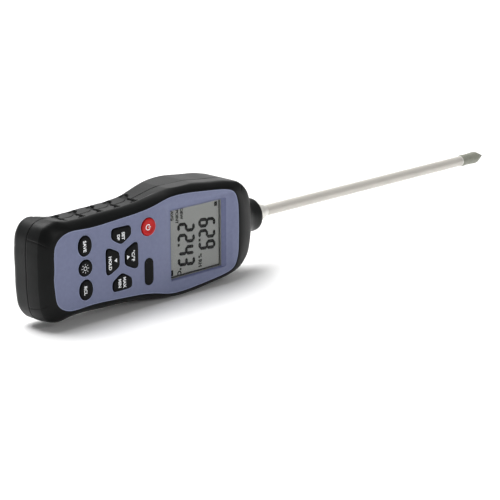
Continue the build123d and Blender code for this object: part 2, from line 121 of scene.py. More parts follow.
def hermite(points, closed, per_span=40):
    """Smooth curve through the points."""
    p = np.asarray(points, float)
    before = np.vstack([p[-1:] if closed else 2 * p[:1] - p[1:2], p[:-1]])
    after = np.vstack([p[1:], p[:1] if closed else 2 * p[-1:] - p[-2:-1]])
    back = np.linalg.norm(p - before, axis=1)[:, None]
    ahead = np.linalg.norm(after - p, axis=1)[:, None]
    slope = ((after - p) / ahead * back + (p - before) / back * ahead) / (back + ahead)
    t = (np.arange(per_span) / per_span)[:, None]
    spans = []
    for i in range(len(p) if closed else len(p) - 1):
        j = (i + 1) % len(p)
        spans.append(
            (2 * t**3 - 3 * t**2 + 1) * p[i] + (3 * t**2 - 2 * t**3) * p[j]
            + ((t**3 - 2 * t**2 + t) * slope[i] + (t**3 - t**2) * slope[j]) * ahead[i]
        )
    if not closed:
        spans.append(p[-1:])
    return np.vstack(spans)


def resample(path, count, closed, density=None):
    """Points along a path, spread by length, or by length times density."""
    line = np.vstack([path, path[:1]]) if closed else path
    steps = np.linalg.norm(np.diff(line, axis=0), axis=1)
    if density is not None:
        steps = steps * density((line[1:] + line[:-1]) / 2)
    along = np.concatenate([[0], np.cumsum(steps)])
    marks = np.linspace(0, along[-1], count, endpoint=not closed)
    return np.column_stack([np.interp(marks, along, line[:, k]) for k in range(line.shape[1])])


def rounded_box(s, w, radius, arc_points=8):
    """Outline of a rectangle with round corners."""
    outline = []
    corners = [(s[1], w[1], 0), (s[0], w[1], 1), (s[0], w[0], 2), (s[1], w[0], 3)]
    for corner_s, corner_w, quarter in corners:
        centre_s = corner_s - math.copysign(radius, corner_s - (s[0] + s[1]) / 2)
        centre_w = corner_w - math.copysign(radius, corner_w - (w[0] + w[1]) / 2)
        for k in range(arc_points + 1):
            angle = (quarter + k / arc_points) * math.pi / 2
            outline.append(
                (centre_s + radius * math.cos(angle), centre_w + radius * math.sin(angle)))
    return np.array(outline)


def circle(s, w, radius, count=CIRCLE_POINTS):
    """Outline of a circle."""
    angles = np.arange(count) * math.tau / count
    return np.column_stack([s + radius * np.cos(angles), w + radius * np.sin(angles)])


def inward(outline):
    """Unit normals of a closed outline, pointing to its inside."""
    along = np.roll(outline, -1, 0) - np.roll(outline, 1, 0)
    along /= np.linalg.norm(along, axis=1)[:, None]
    normal = np.column_stack([-along[:, 1], along[:, 0]])
    s, w = outline.T
    area = np.sum(s * np.roll(w, -1) - np.roll(s, -1) * w)
    return normal if area > 0 else -normal


# ---- meshes ----
def piece(name, vertices, faces, material, body="case", slot=None, sharp=35):
    """Mesh object from drawing points, riding on a body."""
    mesh = bpy.data.meshes.new(name)
    mesh.from_pydata([tuple(v) for v in to_frame(vertices)], [], faces)
    obj = bpy.data.objects.new(name, mesh)
    bpy.context.scene.collection.objects.link(obj)
    tidy(obj, sharp)
    mesh.materials.append(material)
    if body:
        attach(obj, body)
    return obj


def tidy(obj, sharp=35):
    """Merges double points, turns faces outward and shades smooth up to the sharp angle."""
    mesh = bmesh.new()
    mesh.from_mesh(obj.data)
    bmesh.ops.remove_doubles(mesh, verts=mesh.verts, dist=2e-6)
    bmesh.ops.recalc_face_normals(mesh, faces=mesh.faces)
    mesh.to_mesh(obj.data)
    mesh.free()
    obj.data.shade_smooth()
    obj.data.set_sharp_from_angle(angle=math.radians(sharp))


def grid_faces(rows, columns, wrap=False, first=0):
    """Quads between rows that are closed loops; wrap joins the last row to the first."""
    faces = []
    for r in range(rows if wrap else rows - 1):
        a = first + r * columns
        b = first + (r + 1) % rows * columns
        for c in range(columns):
            d = (c + 1) % columns
            faces.append((a + c, a + d, b + d, b + c))
    return faces


def skin(name, rows, material, wrap=False, caps=False, **options):
    """Piece stretched over rows of points; caps closes its first and last rows."""
    rows = np.asarray(rows)
    count, columns = rows.shape[:2]
    faces = grid_faces(count, columns, wrap)
    if caps:
        faces.append(tuple(range(columns)))
        faces.append(tuple(range((count - 1) * columns, count * columns)))
    return piece(name, rows.reshape(-1, 3), faces, material, **options)


def level(outline, h):
    """Points of an outline at one height."""
    return np.column_stack([outline, np.full(len(outline), h)])


def cutter(levels):
    """Closed form through outlines at heights, used to cut another piece."""
    return skin("cutter", [level(outline, h) for outline, h in levels], None, caps=True, body=None)


def cut(obj, cutters):
    """Cuts the cutters out of a piece and removes them."""
    for tool in cutters:
        modifier = obj.modifiers.new("cut", "BOOLEAN")
        modifier.operation = "DIFFERENCE"
        modifier.solver = "EXACT"
        modifier.object = tool
    graph = bpy.context.evaluated_depsgraph_get()
    mesh = bpy.data.meshes.new_from_object(obj.evaluated_get(graph))
    obj.modifiers.clear()
    obj.data = mesh
    for tool in cutters:
        bpy.data.objects.remove(tool)
    tidy(obj, 30)


def plates(name, outlines, material, low, high, **options):
    """Many flat outlines raised to thin plates in one piece."""
    vertices, faces = [], []
    for outline in outlines:
        count = len(outline)
        first = len(vertices)
        vertices += [(s, w, low) for s, w in outline] + [(s, w, high) for s, w in outline]
        faces += grid_faces(2, count, first=first)
        middle = first + count
        faces += [tuple(range(first, middle)), tuple(range(middle, middle + count))]
    return piece(name, vertices, faces, material, **options)


def turned(name, profile, material, count=96, wave=None, **options):
    """Skin of revolution about the probe axis from (s, radius) points."""
    angles = np.arange(count) * math.tau / count
    rows = []
    for s, radius in profile:
        radii = radius if wave is None else radius + wave(s, radius, angles)
        rows.append(np.column_stack([
            np.full(count, s), radii * np.cos(angles), AXIS_H + radii * np.sin(angles)]))
    return skin(name, rows, material, wrap=True, **options)


# ---- materials ----
def surface(name, dark, light, rough, metal=0.0, grain=900.0, stretch=(1, 1, 1), bump=0.15,
            relief=0.00003, spread=0.06, coat=0.0, alpha=1.0, specular=0.5):
    """Procedural finish: two tones by noise, uneven roughness and a fine relief."""
    material = bpy.data.materials.new(name)
    material.use_nodes = True
    nodes = material.node_tree.nodes
    links = material.node_tree.links
    shader = nodes["Principled BSDF"]
    shader.inputs["Metallic"].default_value = metal
    shader.inputs["Specular IOR Level"].default_value = specular
    shader.inputs["Coat Weight"].default_value = coat
    shader.inputs["Coat Roughness"].default_value = 0.12
    shader.inputs["Alpha"].default_value = alpha
    place = nodes.new("ShaderNodeTexCoord")
    mapping = nodes.new("ShaderNodeMapping")
    mapping.inputs["Scale"].default_value = stretch
    links.new(place.outputs["Object"], mapping.inputs["Vector"])
    tone = nodes.new("ShaderNodeTexNoise")
    tone.inputs["Scale"].default_value = grain * 0.12
    tone.inputs["Detail"].default_value = 6
    fine = nodes.new("ShaderNodeTexNoise")
    fine.inputs["Scale"].default_value = grain
    fine.inputs["Detail"].default_value = 3
    links.new(mapping.outputs["Vector"], tone.inputs["Vector"])
    links.new(mapping.outputs["Vector"], fine.inputs["Vector"])
    ramp = nodes.new("ShaderNodeValToRGB")
    ramp.color_ramp.elements[0].position = 0.3
    ramp.color_ramp.elements[0].color = (*dark, 1)
    ramp.color_ramp.elements[1].position = 0.7
    ramp.color_ramp.elements[1].color = (*light, 1)
    links.new(tone.outputs["Fac"], ramp.inputs["Fac"])
    links.new(ramp.outputs["Color"], shader.inputs["Base Color"])
    gloss = nodes.new("ShaderNodeMapRange")
    gloss.inputs["From Min"].default_value = 0.3
    gloss.inputs["From Max"].default_value = 0.7
    gloss.inputs["To Min"].default_value = max(rough - spread, 0.02)
    gloss.inputs["To Max"].default_value = rough + spread
    links.new(fine.outputs["Fac"], gloss.inputs["Value"])
    links.new(gloss.outputs["Result"], shader.inputs["Roughness"])
    if bump:
        height = nodes.new("ShaderNodeBump")
        height.inputs["Strength"].default_value = bump
        height.inputs["Distance"].default_value = relief
        links.new(fine.outputs["Fac"], height.inputs["Height"])
        links.new(height.outputs["Normal"], shader.inputs["Normal"])
    return material


def srgb(code):
    """Linear colour of a six-digit sRGB code."""
    channels = [int(code[k:k + 2], 16) / 255 for k in (0, 2, 4)]
    return tuple(c / 12.92 if c <= 0.04045 else ((c + 0.055) / 1.055) ** 2.4 for c in channels)


def tones(code, share=0.12):
    """Two tones, a little darker and lighter than a colour."""
    colour = srgb(code)
    return tuple(c * (1 - share) for c in colour), tuple(min(c * (1 + share), 1) for c in colour)


RUBBER = surface("overmould_rubber", *tones("161717", 0.10), 0.42, grain=2600, bump=0.22,
                 relief=0.00002, specular=0.18)
# Darker copy of the black rubber: painted shade on the front bezel and in the grip grooves.
RUBBER_SHADE = surface("rubber_painted_shade", *tones("0d0e0e", 0.12), 0.40, grain=2600, bump=0.15,
                relief=0.00002, specular=0.12)
RUBBER_BACK = surface("back_plastic", *tones("161717", 0.10), 0.46, grain=3000, bump=0.3,
                      relief=0.00003, specular=0.18)
PANEL = surface("panel_blue", *tones("6e7491", 0.05), 0.42, grain=3500, bump=0.06, relief=0.00001,
                specular=0.3)
# Darker blue of the display slope: painted shade.
PANEL_SLOPE_SHADE = surface("panel_slope_painted_shade", *tones("5f6585", 0.06), 0.42, grain=3500, bump=0.06,
                      relief=0.00001, specular=0.3)
# Lighter blue of the raised panel edge and the key lips: painted highlight.
RIM_HIGHLIGHT = surface("panel_rim_highlight", *tones("8a92b0", 0.05), 0.35, grain=3500, bump=0.05, relief=0.00001,
              specular=0.3)
KEY = surface("key_black", *tones("08090a", 0.12), 0.38, grain=2500, bump=0.08, relief=0.00001,
              specular=0.08)
RED = surface("key_red", *tones("b30f10", 0.12), 0.34, grain=2000, bump=0.05, relief=0.00001,
              specular=0.2)
LEGEND = surface("legend_white", *tones("eef0f2", 0.03), 0.5, grain=2500, bump=0.05)
LCD = surface("lcd_grey", *tones("a0a29f", 0.02), 0.40, grain=600, bump=0.02, specular=0.15)
INK = surface("lcd_ink", *tones("060607", 0.2), 0.45, grain=900, bump=0.02, specular=0.1)
LENS = surface("window_clear", *tones("0c0d0e", 0.1), 0.05, grain=200, bump=0.0, spread=0.02,
               alpha=0.08)
STEEL = surface("tube_steel", *tones("c4c0b9", 0.04), 0.45, metal=0.28, grain=1600,
                stretch=(0.3, 1, 1), bump=0.04, relief=0.00001, spread=0.03)
SINTER = surface("sintered_metal", *tones("8c8d82", 0.14), 0.62, metal=0.35, grain=5200, bump=0.6,
                 relief=0.00008)
# Light grey of the seal ring: painted highlight of the bright ring at the tube end.
SEAL_HIGHLIGHT = surface("seal_rubber", *tones("a7a69f", 0.10), 0.5, grain=2500, bump=0.2)
CAPSULE = surface("capsule_black", *tones("070808", 0.12), 0.30, grain=2500, bump=0.05,
                  specular=0.08)
# Bright steel of the tube flare and lip, lighter than the tube: partly its own colour, partly
# painted highlight of the bright rings there.
FERRULE_STEEL_AND_HIGHLIGHT = surface("ferrule_steel_and_highlight", *tones("dcdad4", 0.05), 0.35, metal=0.4, grain=1500, bump=0.05)
DARK_STEEL = surface("steel_dark", *tones("55575a", 0.12), 0.35, metal=1.0, grain=1500, bump=0.2)
BRASS = surface("brass", *tones("c9a24c", 0.10), 0.3, metal=1.0, grain=1500, bump=0.15)
NICKEL = surface("nickel", *tones("c9c8c2", 0.08), 0.25, metal=1.0, grain=1500, bump=0.1)
TIN = surface("can_steel", *tones("b9bbbd", 0.06), 0.3, metal=1.0, grain=1800, bump=0.1)
BOARD = surface("board_green", *tones("1f5a37", 0.15), 0.4, grain=800, bump=0.1, coat=0.2)
CHIP = surface("chip_black", *tones("1d1d1f", 0.15), 0.5, grain=2500, bump=0.2)
TAN = surface("chip_tan", *tones("b08d5e", 0.12), 0.5, grain=1800, bump=0.15)
CREAM = surface("socket_cream", *tones("e6dcc2", 0.05), 0.45, grain=1500, bump=0.1)
CELL = surface("cell_jacket", *tones("2f6fb0", 0.10), 0.3, grain=1200, bump=0.05, coat=0.3)
LEAD = surface("lead_red", *tones("a8201f", 0.10), 0.45, grain=1800, bump=0.1)
WHITE = surface("diffuser_white", *tones("e9ebe8", 0.03), 0.4, grain=1500, bump=0.05)
MAT = surface("mat_rubber", *tones("48494b", 0.10), 0.6, grain=2200, bump=0.2)
FRAME_BLACK = surface("frame_black", *tones("1a1a1b", 0.12), 0.5, grain=2500, bump=0.2)
CABLE = surface("cable_black", *tones("1b1b1c", 0.12), 0.5, grain=2500, bump=0.15)
COVER = surface("cover_black", *tones("191a1a", 0.10), 0.5, grain=3000, bump=0.3, specular=0.2)

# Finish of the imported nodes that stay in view. The others are replaced by the pieces below.
NODE_FINISH = {
    "case_screws": DARK_STEEL, "tripod_insert": BRASS, "name_capsule": CAPSULE,
    "display_window": LENS, "lcd_glass": LCD, "backlight_panel": WHITE, "zebra_strips": MAT,
    "lcd_frame": FRAME_BLACK, "keypad_mat": MAT, "main_board": BOARD, "board_screws": NICKEL,
    "microcontroller": CHIP, "board_parts": TAN, "crystal_can": TIN, "buzzer": CHIP,
    "cable_socket": CREAM, "battery_tray": FRAME_BLACK, "battery_cells": CELL,
    "contact_plates": NICKEL, "contact_springs": NICKEL, "battery_leads": LEAD,
    "battery_cover": COVER, "cover_pin": NICKEL, "tube_nut": BRASS, "probe_tube": STEEL,
    "sensor_ferrule": NICKEL, "sensor_board": BOARD, "humidity_sensor": WHITE,
    "sensor_cable": CABLE,
}
for node_name, node in NODES.items():
    for holder in node.material_slots:
        holder.material = NODE_FINISH.get(node_name, RUBBER)


# ---- body outline ----
def column_density(points):
    """More columns where the grip is grooved and where the ends have split lines."""
    s = points[:, 0]
    grip = step(18, 24, s) * (1 - step(92, 98, s))
    head_split = np.exp(-((s - SPLIT_S) / 2.5) ** 2)
    return 1 + 2.0 * grip + 1.6 * (1 - step(8, 14, s)) + 2.0 * head_split


HALF = np.array(OUTER_HALF)
LOWER = HALF[::-1] * (1, -1)
CONTROL = np.vstack([[(OUTER_NEAR, 0)], HALF, [(OUTER_FAR, 0)], LOWER])
OUTER = resample(hermite(CONTROL, True), COLUMNS, True, column_density)
CENTRE = np.column_stack([np.clip(OUTER[:, 0], *SPINE), np.zeros(COLUMNS)])
OUTER_IN = (CENTRE - OUTER) / np.linalg.norm(CENTRE - OUTER, axis=1)[:, None]


def panel_edge():
    """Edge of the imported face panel, met from each column of the outline."""
    found = []
    starts = to_frame(level(OUTER, -0.6))
    ends = to_frame(level(CENTRE, -0.6))
    for start, end in zip(starts, ends):
        ray = Vector(end) - Vector(start)
        _, place, _, _ = NODES["face_panel"].ray_cast(Vector(start), ray.normalized())
        found.append(to_drawing(place)[:2])
    return np.array(found)


EDGE = panel_edge()
EDGE_IN = inward(EDGE)


def back_height(s):
    """Height of the back, which drops from the grip to the head."""
    return GRIP_BACK + (HEAD_BACK - GRIP_BACK) * step(*SWELL, s)


def near_seam(height):
    """1 at the height of the seam, fading to 0 above and below it."""
    return np.exp(-(((height - SEAM) / 5.0) ** 2))


def on_side(w):
    """0 along the middle of the ends, 1 on the long sides."""
    return step(14, 22, np.abs(w))


def seam_shift(s, w):
    """Saw-tooth of the seam between the grip grooves."""
    shift = np.zeros_like(s)
    for centre in GROOVES:
        rise = step(centre - 6.0, centre - 0.6, s)
        shift -= SAW_TOOTH * rise * (1 - step(centre + 0.2, centre + 1.8, s))
    return shift * on_side(w)


def relief_depth(s, w, h):
    """How far the side wall is drawn in: grip pocket, cross grooves and split lines."""
    lean = np.clip((h - GRIP_BACK) / 24.0, 0, 1.05)
    lip = 15.0 + 13.5 * lean**1.6
    below_crease = 1 - step(-8.6, -6.9, h)
    pocket = step(lip - 0.9, lip + 0.9, s) * (1 - step(90, 106, s)) * below_crease
    ridge = np.exp(-(((s - lip + 2.2) / 1.5) ** 2)) * below_crease
    depth = on_side(w) * (0.95 * pocket - 0.22 * ridge)
    return depth + GROOVE_DEPTH * groove_share(s, w, h) + split_depth(s, w, h)


def groove_share(s, w, h):
    """1 inside the bone-shaped grooves that cross the seam, 0 outside them."""
    share = np.zeros_like(s)
    reach = np.abs(h - SEAM)
    for centre in GROOVES:
        off = np.abs(s - centre + 0.17 * (h - SEAM) - 0.7 * np.sin((h - SEAM) * 0.55))
        half = 1.15 + 1.9 * step(3.2, 6.5, reach)
        share += 1 - step(half - 0.4, half + 0.4, off)
    ends = step(-28.5, -26.5, h) * (1 - step(-9.8, -8.5, h))
    return share * ends * on_side(w)


def split_depth(s, w, h):
    """Fine lines where the end bumpers meet the front shell."""
    split = np.exp(-(((np.abs(w) - SPLIT_W) / 0.26) ** 2)) * (1 - step(9, 12, s))
    split += np.exp(-(((s - SPLIT_S) / 0.3) ** 2)) * step(20, 24, np.abs(w))
    return 0.45 * split * (h > SEAM) * (1 - step(-2.4, -1.2, h))


def section_rows(section, count):
    """Smooth rows through (share, inset, height) points of a cross-section."""
    weights = np.array([8.0, 1.0, 1.0])
    return resample(hermite(np.array(section) * weights, False, 12), count, False) / weights


def clipped(rows):
    """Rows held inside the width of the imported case."""
    rows = np.array(rows)
    rows[..., 1] = np.clip(rows[..., 1], -HALF_WIDTH, HALF_WIDTH)
    return rows


# 1 on the columns that face the near end, where END_SECTION takes over from FRONT_SECTION.
NEAR_END = step(0.35, 0.95, OUTER_IN[:, 0]) * (OUTER[:, 0] < SPINE[0])


def wall_point(side_point, end_point):
    """Row of points between the panel edge and the outline, with the relief worked in."""
    share, inset, height = [a + (b - a) * NEAR_END for a, b in zip(side_point, end_point)]
    flat = EDGE + (OUTER - EDGE) * share[:, None] + OUTER_IN * inset[:, None]
    s, w = flat.T
    height = height + seam_shift(s, w) * near_seam(height)
    depth = relief_depth(OUTER[:, 0], OUTER[:, 1], height)
    sideways = step(0.6, 0.95, share)
    flat = flat + OUTER_IN * (depth * sideways)[:, None]
    return np.column_stack([flat, height - depth * (1 - sideways) * 0.8])


FRONT_SECTION = [
    (0.0, 0, -0.9), (0.0, 0, 0.1), (0.012, 0, 0.3), (0.04, 0, 0.4), (0.1, 0, 0.36),
    (0.3, 0, -0.3), (0.5, 0, -1.45), (0.7, 0, -2.85), (0.84, 0, -4.1), (0.93, 0, -5.3),
    (0.97, 0, -6.4), (0.988, 0, -7.8), (0.996, 0, -9.6), (1, 0, -11.6), (1, 0, -13.6),
    (1, 0, -14.7), (1, 0.14, -15.08), (1, 0.45, -15.28), (1, 0.9, -15.34),
]
END_SECTION = [
    (0.0, 0, -0.9), (0.0, 0, 0.1), (0.012, 0, 0.3), (0.04, 0, 0.4), (0.1, 0, 0.33),
    (0.3, 0, -0.5), (0.48, 0, -1.8), (0.62, 0, -3.2), (0.72, 0, -4.6), (0.775, 0, -5.7),
    (0.815, 0, -6.8), (0.855, 0, -8.0), (0.905, 0, -9.9), (0.945, 0, -11.7), (0.975, 0, -13.5),
    (0.99, 0, -14.6), (0.995, 0.14, -15.08), (1, 0.45, -15.28), (1, 0.9, -15.34),
]
FRONT_INSIDE = [
    (1, SHELL_WALL, -15.34), (1, SHELL_WALL, -9.0), (0.7, 0.8, -5.6), (0.35, 0, -3.8), (0, 0, -3.0),
]


def face_centres(obj):
    """Middle of each face, in drawing sizes."""
    centres = np.zeros(len(obj.data.polygons) * 3)
    obj.data.polygons.foreach_get("center", centres)
    return np.column_stack(to_drawing(centres.reshape(-1, 3).T))


def front_case():
    """Overmoulded front shell: bezel, crease, side wall and the inner wall behind them."""
    sections = section_rows(FRONT_SECTION, 64), section_rows(END_SECTION, 64)
    rows = [wall_point(*points) for points in zip(*sections)]
    for share, inset, height in FRONT_INSIDE:
        flat = EDGE + (OUTER - EDGE) * share + OUTER_IN * inset
        shift = seam_shift(*flat.T) if height < -15 else 0
        rows.append(np.column_stack([flat, np.full(COLUMNS, height) + shift]))
    obj = skin("front_case", clipped(rows), RUBBER_SHADE, wrap=True, slot="shell_black")
    obj.data.materials.append(RUBBER)
    centres = face_centres(obj)
    # Faces below the crease keep the black rubber; the bezel above it and the groove faces take the
    # darker copy as painted shade.
    rubber = (centres[:, 2] < -CREASE_DROP) & (groove_share(*centres.T) < 0.5)
    obj.data.polygons.foreach_set("material_index", rubber.astype(np.int32))
    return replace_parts(obj, "front_shell")


def back_rows(inset, seam_top, wall_count, arc_count, cap_count, sculpted):
    """Rows of the rear shell from the seam over the rounded edge to the middle of the back."""
    radius = BACK_ROUND - inset
    side = OUTER + OUTER_IN * inset
    rows = []
    for v in np.linspace(0, 1, wall_count):
        low = back_height(side[:, 0]) + BACK_ROUND
        height = seam_top + (low - seam_top) * v
        height = height + seam_shift(*OUTER.T) * near_seam(height)
        depth = relief_depth(*OUTER.T, height) if sculpted else np.zeros(COLUMNS)
        rows.append(np.column_stack([side + OUTER_IN * depth[:, None], height]))
    for k in range(1, arc_count + 1):
        angle = k / arc_count * math.pi / 2
        flat = side + OUTER_IN * radius * (1 - math.cos(angle))
        height = back_height(flat[:, 0]) + BACK_ROUND - radius * math.sin(angle)
        depth = relief_depth(*OUTER.T, height) if sculpted else np.zeros(COLUMNS)
        rows.append(np.column_stack([flat + OUTER_IN * (depth * math.cos(angle))[:, None], height]))
    rim = side + OUTER_IN * radius
    for k in range(1, cap_count + 1):
        flat = rim + (CENTRE - rim) * k / cap_count
        rows.append(np.column_stack([flat, back_height(flat[:, 0]) + inset]))
    return rows


def back_case():
    """Rear shell with its grip relief and openings for battery, screws and tripod insert."""
    shift = seam_shift(*OUTER.T)
    lip_rows = []
    for inset, height in [(0.9, -15.46), (0.45, -15.52), (0.14, -15.72)]:
        drawn_in = inset + relief_depth(*OUTER.T, height + shift)
        lip_rows.append(np.column_stack([OUTER + OUTER_IN * drawn_in[:, None], height + shift]))
    outer = lip_rows + back_rows(0.0, -16.1, 36, 12, 14, True)
    inner = back_rows(SHELL_WALL, -15.46, 4, 5, 5, False)
    obj = skin("back_case", clipped(inner[::-1] + outer), RUBBER_BACK, slot="shell_black")
    low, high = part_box("battery_cover")
    near, cover_low, _ = to_drawing(low)
    far, cover_high, _ = to_drawing(high)
    opening = rounded_box(
        (near - COVER_GAP, far + 0.6), (cover_low - COVER_GAP, cover_high + COVER_GAP), 0.8)
    tools = [cutter([(opening, -33.5), (opening, -26.5)])]
    for s, w in SCREWS:
        hole = circle(s, w, SCREW_WELL_R)
        tools.append(cutter([(hole, -46), (hole, -24)]))
    socket = circle(*TRIPOD, TRIPOD_R)
    tools.append(cutter([(socket, -46), (socket, -36)]))
    cut(obj, tools)
    # The groove faces take the darker rubber copy as painted shade.
    obj.data.materials.append(RUBBER_SHADE)
    groove_shade = groove_share(*face_centres(obj).T) > 0.5
    obj.data.polygons.foreach_set("material_index", groove_shade.astype(np.int32))
    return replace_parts(obj, "rear_shell")


def screw_wells():
    """Tubes in which the case screws are sunk."""
    vertices, faces = [], []
    for s, w in SCREWS:
        back = GRIP_BACK if s < SWELL[0] else HEAD_BACK
        low, high = back + 0.4, back + 6.0
        first = len(vertices)
        loops = [(SCREW_WELL_R, low), (4.2, low), (4.2, high), (SCREW_WELL_R, high)]
        for radius, height in loops:
            vertices += [tuple(v) for v in level(circle(s, w, radius), height)]
        faces += grid_faces(len(loops), CIRCLE_POINTS, wrap=True, first=first)
    piece("screw_wells", vertices, faces, RUBBER_BACK, slot="shell_black")


# ---- face ----
KEYS = [name for name in sorted(NODES) if name.startswith("key_")]
KEY_POINTS = 120
KEY_SOFTENING = 22
KEY_EDGE = [(0.0, -3.6), (0.0, -0.75), (0.06, -0.5), (0.2, -0.3), (0.45, -0.17), (0.8, -0.12)]


def key_outline(node_name, grow):
    """Convex outline of a key cap above the panel, moved out by grow."""
    corners = [to_drawing(v.co) for v in NODES[node_name].data.vertices]
    flat = [(s, w) for s, w, h in corners if h > 0.2]
    order = geometry.convex_hull_2d([Vector(p) for p in flat])
    hull = np.array([flat[i] for i in order])
    path = resample(hull, KEY_POINTS, True)
    for _ in range(KEY_SOFTENING):
        path = (np.roll(path, 1, 0) + 2 * path + np.roll(path, -1, 0)) / 4
    return path - inward(path) * grow


def key_cap(node_name):
    """Key with a rounded edge and a slightly crowned top."""
    path = key_outline(node_name, 0)
    normals = inward(path)
    centre = path.mean(0)
    top = key_top(node_name)
    rows = [level(path + normals * inset, top + drop) for inset, drop in KEY_EDGE]
    rim = path + normals * KEY_EDGE[-1][0]
    for share in (0.2, 0.4, 0.6, 0.8, 0.95):
        rows.append(level(rim + (centre - rim) * share, top + KEY_EDGE[-1][1] * (1 - share) ** 2))
    red = node_name == "key_power"
    if red:
        rows[len(KEY_EDGE):] = red_key_top(rim, centre, top)
    obj = skin(node_name + "_cap", rows, RED if red else KEY, caps=True, body=node_name,
               slot="key_red" if red else "key_black")
    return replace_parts(obj, node_name)


def red_key_top(rim, centre, top):
    """Crowned ring round a dished middle."""
    shares = [
        (0.08, -0.10), (0.16, -0.05), (0.26, -0.06), (0.33, -0.16), (0.38, -0.28), (0.44, -0.3),
        (0.6, -0.27), (0.8, -0.24), (0.95, -0.23),
    ]
    return [level(rim + (centre - rim) * share, top + drop) for share, drop in shares]


MOUTH = rounded_box(LCD_S, LCD_W, 0.8)
BRIM = rounded_box((LCD_S[0] - 0.9, LCD_S[1] + 3.4), (LCD_W[0] - 1.0, LCD_W[1] + 1.0), 1.2)
WELL_BACK = rounded_box((LCD_S[0] - 1.6, LCD_S[1] + 4.1), (LCD_W[0] - 1.7, LCD_W[1] + 1.7), 1.4)
WELL_FOOT = -3.39


def display_well():
    """Sloped frame that leads from the panel down to the display, painted a darker blue as shade,
    with a grey inner wall.
    """
    rows = [
        level(BRIM, -0.2), level(MOUTH, -1.8), level(MOUTH, WELL_FOOT), level(WELL_BACK, WELL_FOOT),
        level(WELL_BACK, -1.3), level(BRIM, -1.25),
    ]
    obj = skin("display_well", rows, PANEL_SLOPE_SHADE, wrap=True, slot="panel_blue", sharp=20)
    obj.data.materials.append(LCD)
    height = face_centres(obj)[:, 2]
    inner_wall = (height < -2.5) & (height > -3.2)
    obj.data.polygons.foreach_set("material_index", inner_wall.astype(np.int32))
    return obj


def face_plate():
    """Blue face panel with its openings, the step round the display and the opening for the sloped
    frame.
    """
    rows = [level(EDGE, -1.2), level(EDGE, -0.12), level(EDGE + EDGE_IN * 0.12, 0.0)]
    obj = skin("face_plate", rows, PANEL, caps=True, slot="panel_blue")
    tools = []
    for key in KEYS:
        hole = key_outline(key, KEY_GAP)
        tools.append(cutter([(hole, -2.5), (hole, 1.5)]))
    tools.append(cutter([(BRIM, -3.0), (BRIM, 1.2)]))
    step_low = rounded_box(STEP_S, STEP_W, 2.2)
    step_high = rounded_box(
        (STEP_S[0] - STEP_FLARE, STEP_S[1] + STEP_FLARE),
        (STEP_W[0] - STEP_FLARE, STEP_W[1] + STEP_FLARE), 2.2 + STEP_FLARE)
    tools.append(cutter([(step_low, -0.36), (step_high, 0.02), (step_high, 0.6)]))
    capsule = rounded_box(CAPSULE_S, CAPSULE_W, 3.7)
    tools.append(cutter([(capsule, -0.6), (capsule, 0.6)]))
    cut(obj, tools)
    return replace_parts(obj, "face_panel")


def bead(name, outline, normals, section, material, **options):
    """Closed strip along an outline; section points are (inset, height)."""
    rows = [level(outline + normals * inset, height) for inset, height in section]
    return skin(name, rows, material, wrap=True, **options)


def panel_rim_highlight():
    """Fine raised edge of the face panel, in a lighter blue that is painted highlight."""
    section = [
        (0.05, -0.3), (0.05, 0.06), (0.14, 0.14), (0.32, 0.17), (0.5, 0.12), (0.62, -0.02),
        (0.62, -0.3),
    ]
    return bead("panel_rim_highlight", EDGE, EDGE_IN, section, RIM_HIGHLIGHT, slot="panel_blue")


def key_rings():
    """Thin raised lips of the panel round the keys, in the same lighter blue of painted highlight.
    """
    section = [
        (-0.4, -0.4), (-0.4, 0.04), (-0.5, 0.12), (-0.68, 0.13), (-0.82, 0.03), (-0.82, -0.4),
    ]
    for key in KEYS:
        path = key_outline(key, 0)
        bead("ring_of_" + key, path, inward(path), section, RIM_HIGHLIGHT, slot="panel_blue")


# ---- legends ----
def lettering(name, text, s, w, size, h, body="case", material=LEGEND, bold=0.03):
    """Flat letters that read across the face, with their tops towards the probe."""
    curve = bpy.data.curves.new(name, "FONT")
    curve.body = text
    curve.size = size * MM
    curve.align_x = "CENTER"
    curve.align_y = "CENTER"
    curve.offset = bold * size * MM
    curve.extrude = 0.00002
    curve.resolution_u = 4
    helper = bpy.data.objects.new(name, curve)
    bpy.context.scene.collection.objects.link(helper)
    graph = bpy.context.evaluated_depsgraph_get()
    mesh = bpy.data.meshes.new_from_object(helper.evaluated_get(graph))
    bpy.data.objects.remove(helper)
    turn = Matrix(((0, 1, 0), (0, 0, -1), (-1, 0, 0))).to_4x4()
    place = Vector(to_frame([(s, w, h)])[0])
    mesh.transform(Matrix.Translation(place) @ turn)
    obj = bpy.data.objects.new(name, mesh)
    bpy.context.scene.collection.objects.link(obj)
    mesh.materials.clear()
    mesh.materials.append(material)
    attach(obj, body)
    return obj


def key_top(node_name):
    """Height of the top of a packed key."""
    return to_drawing(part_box(node_name)[0])[2]


def on_key(name, key, outlines):
    """White plates on a key; those of the dished red key lie lower."""
    top = key_top(key) - (0.2 if key == "key_power" else 0)
    return plates(name, outlines, LEGEND, top - 0.14, top, body=key)


def triangle(s, w, size, up):
    """Arrow head that points to the probe, or away from it when up is -1."""
    point = s + size * 0.55 * up
    base = s - size * 0.45 * up
    return [(point, w), (base, w + size * 0.6), (base, w - size * 0.6)]


def arc_band(s, w, radius, width, start, end, count=24):
    """Outline of a bent band; its angles are in degrees from the direction of the probe."""
    angles = np.radians(np.linspace(start, end, count))
    outside, inside = [
        [(s + reach * math.cos(a), w + reach * math.sin(a)) for a in angles]
        for reach in (radius + width / 2, radius - width / 2)
    ]
    return outside + inside[::-1]


def bar(s, w, reach, width, degrees, start=0.0):
    """Thin bar pointing away from (s, w)."""
    a = math.radians(degrees)
    along = np.array((math.cos(a), math.sin(a)))
    across = np.array((-math.sin(a), math.cos(a))) * width / 2
    near = np.array((s, w)) + along * start
    far = near + along * reach
    return [tuple(near + across), tuple(far + across), tuple(far - across), tuple(near - across)]


